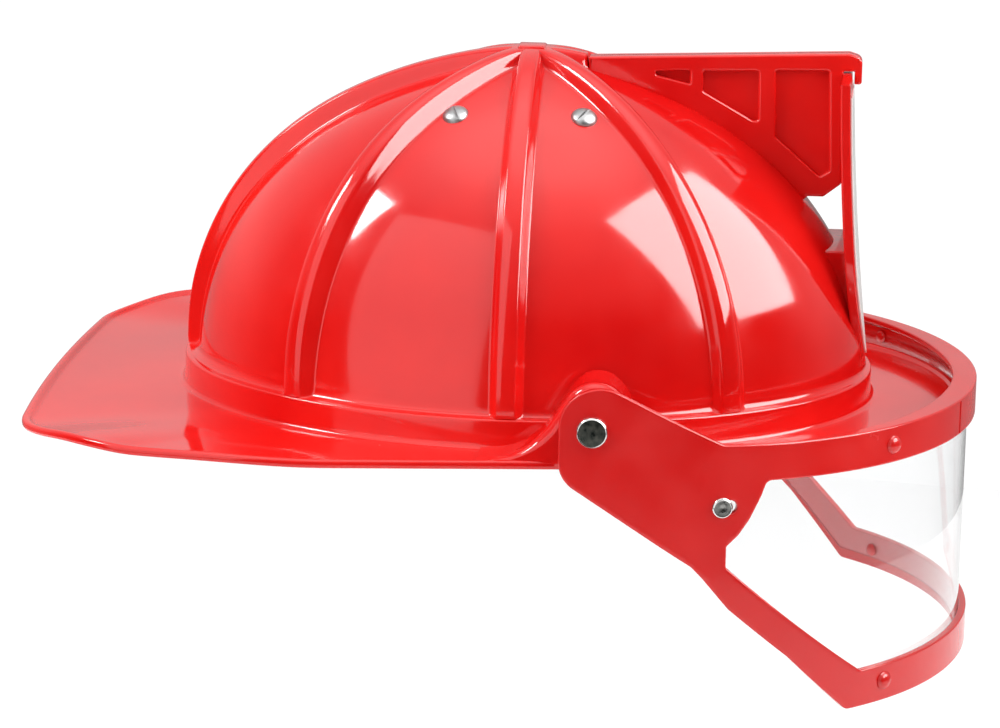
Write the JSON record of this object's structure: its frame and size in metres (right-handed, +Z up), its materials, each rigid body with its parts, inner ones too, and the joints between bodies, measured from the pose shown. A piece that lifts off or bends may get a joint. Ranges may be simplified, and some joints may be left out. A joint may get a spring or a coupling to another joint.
{
  "type": "firefighter helmet",
  "caption": "Child's play fire helmet: ribbed red dome with an all-round brim, a tall front shield on a bracket, a clear visor that swings up on side pivots, and a headband inside.",
  "frame": {"origin": "centre of the head opening, level with the base ring of the dome", "axes": "+Z up out of the crown, -Y to the front where the shield and visor are, +X to the wearer's left"},
  "size_m": [0.2322, 0.3251, 0.206],
  "materials": {
    "shell_red": "gloss",
    "visor_red": "gloss",
    "face_white": "satin",
    "lens_clear": "gloss",
    "rivet_steel": "satin",
    "screw_steel": "satin",
    "spacer_nylon": "matt",
    "band_black": "matt",
    "pad_cloth": "matt"
  },
  "bodies": {
    "helmet": {"helmet_shell": "shell_red", "shield_bracket": "shell_red", "front_shield": "shell_red", "shield_face": "face_white", "bracket_screws": "screw_steel", "shield_screws": "screw_steel", "pivot_rivet_right": "rivet_steel", "pivot_rivet_left": "rivet_steel", "pivot_spacer_right": "spacer_nylon", "pivot_spacer_left": "spacer_nylon", "pivot_backing_washers": "screw_steel", "crown_screws": "screw_steel", "crown_washers": "screw_steel", "crown_nuts": "screw_steel", "suspension_legs_front": "band_black", "suspension_legs_rear": "band_black", "leg_rivets": "band_black", "headband": "band_black", "nape_strap": "band_black", "brow_pad": "pad_cloth"},
    "visor": {"visor_frame": "visor_red", "visor_lens": "lens_clear", "lens_studs_upper": "visor_red", "lens_studs_lower": "visor_red", "lens_rivet_right": "rivet_steel", "lens_rivet_left": "rivet_steel", "lens_washers": "screw_steel"}
  },
  "joints": [
    {"name": "visor_hinge", "type": "hinge", "parent": "helmet", "child": "visor", "pos_m": [0, -0.0297, 0.003], "axis": [-1, 0, 0], "range_deg": [-1.5, 40]}
  ]
}
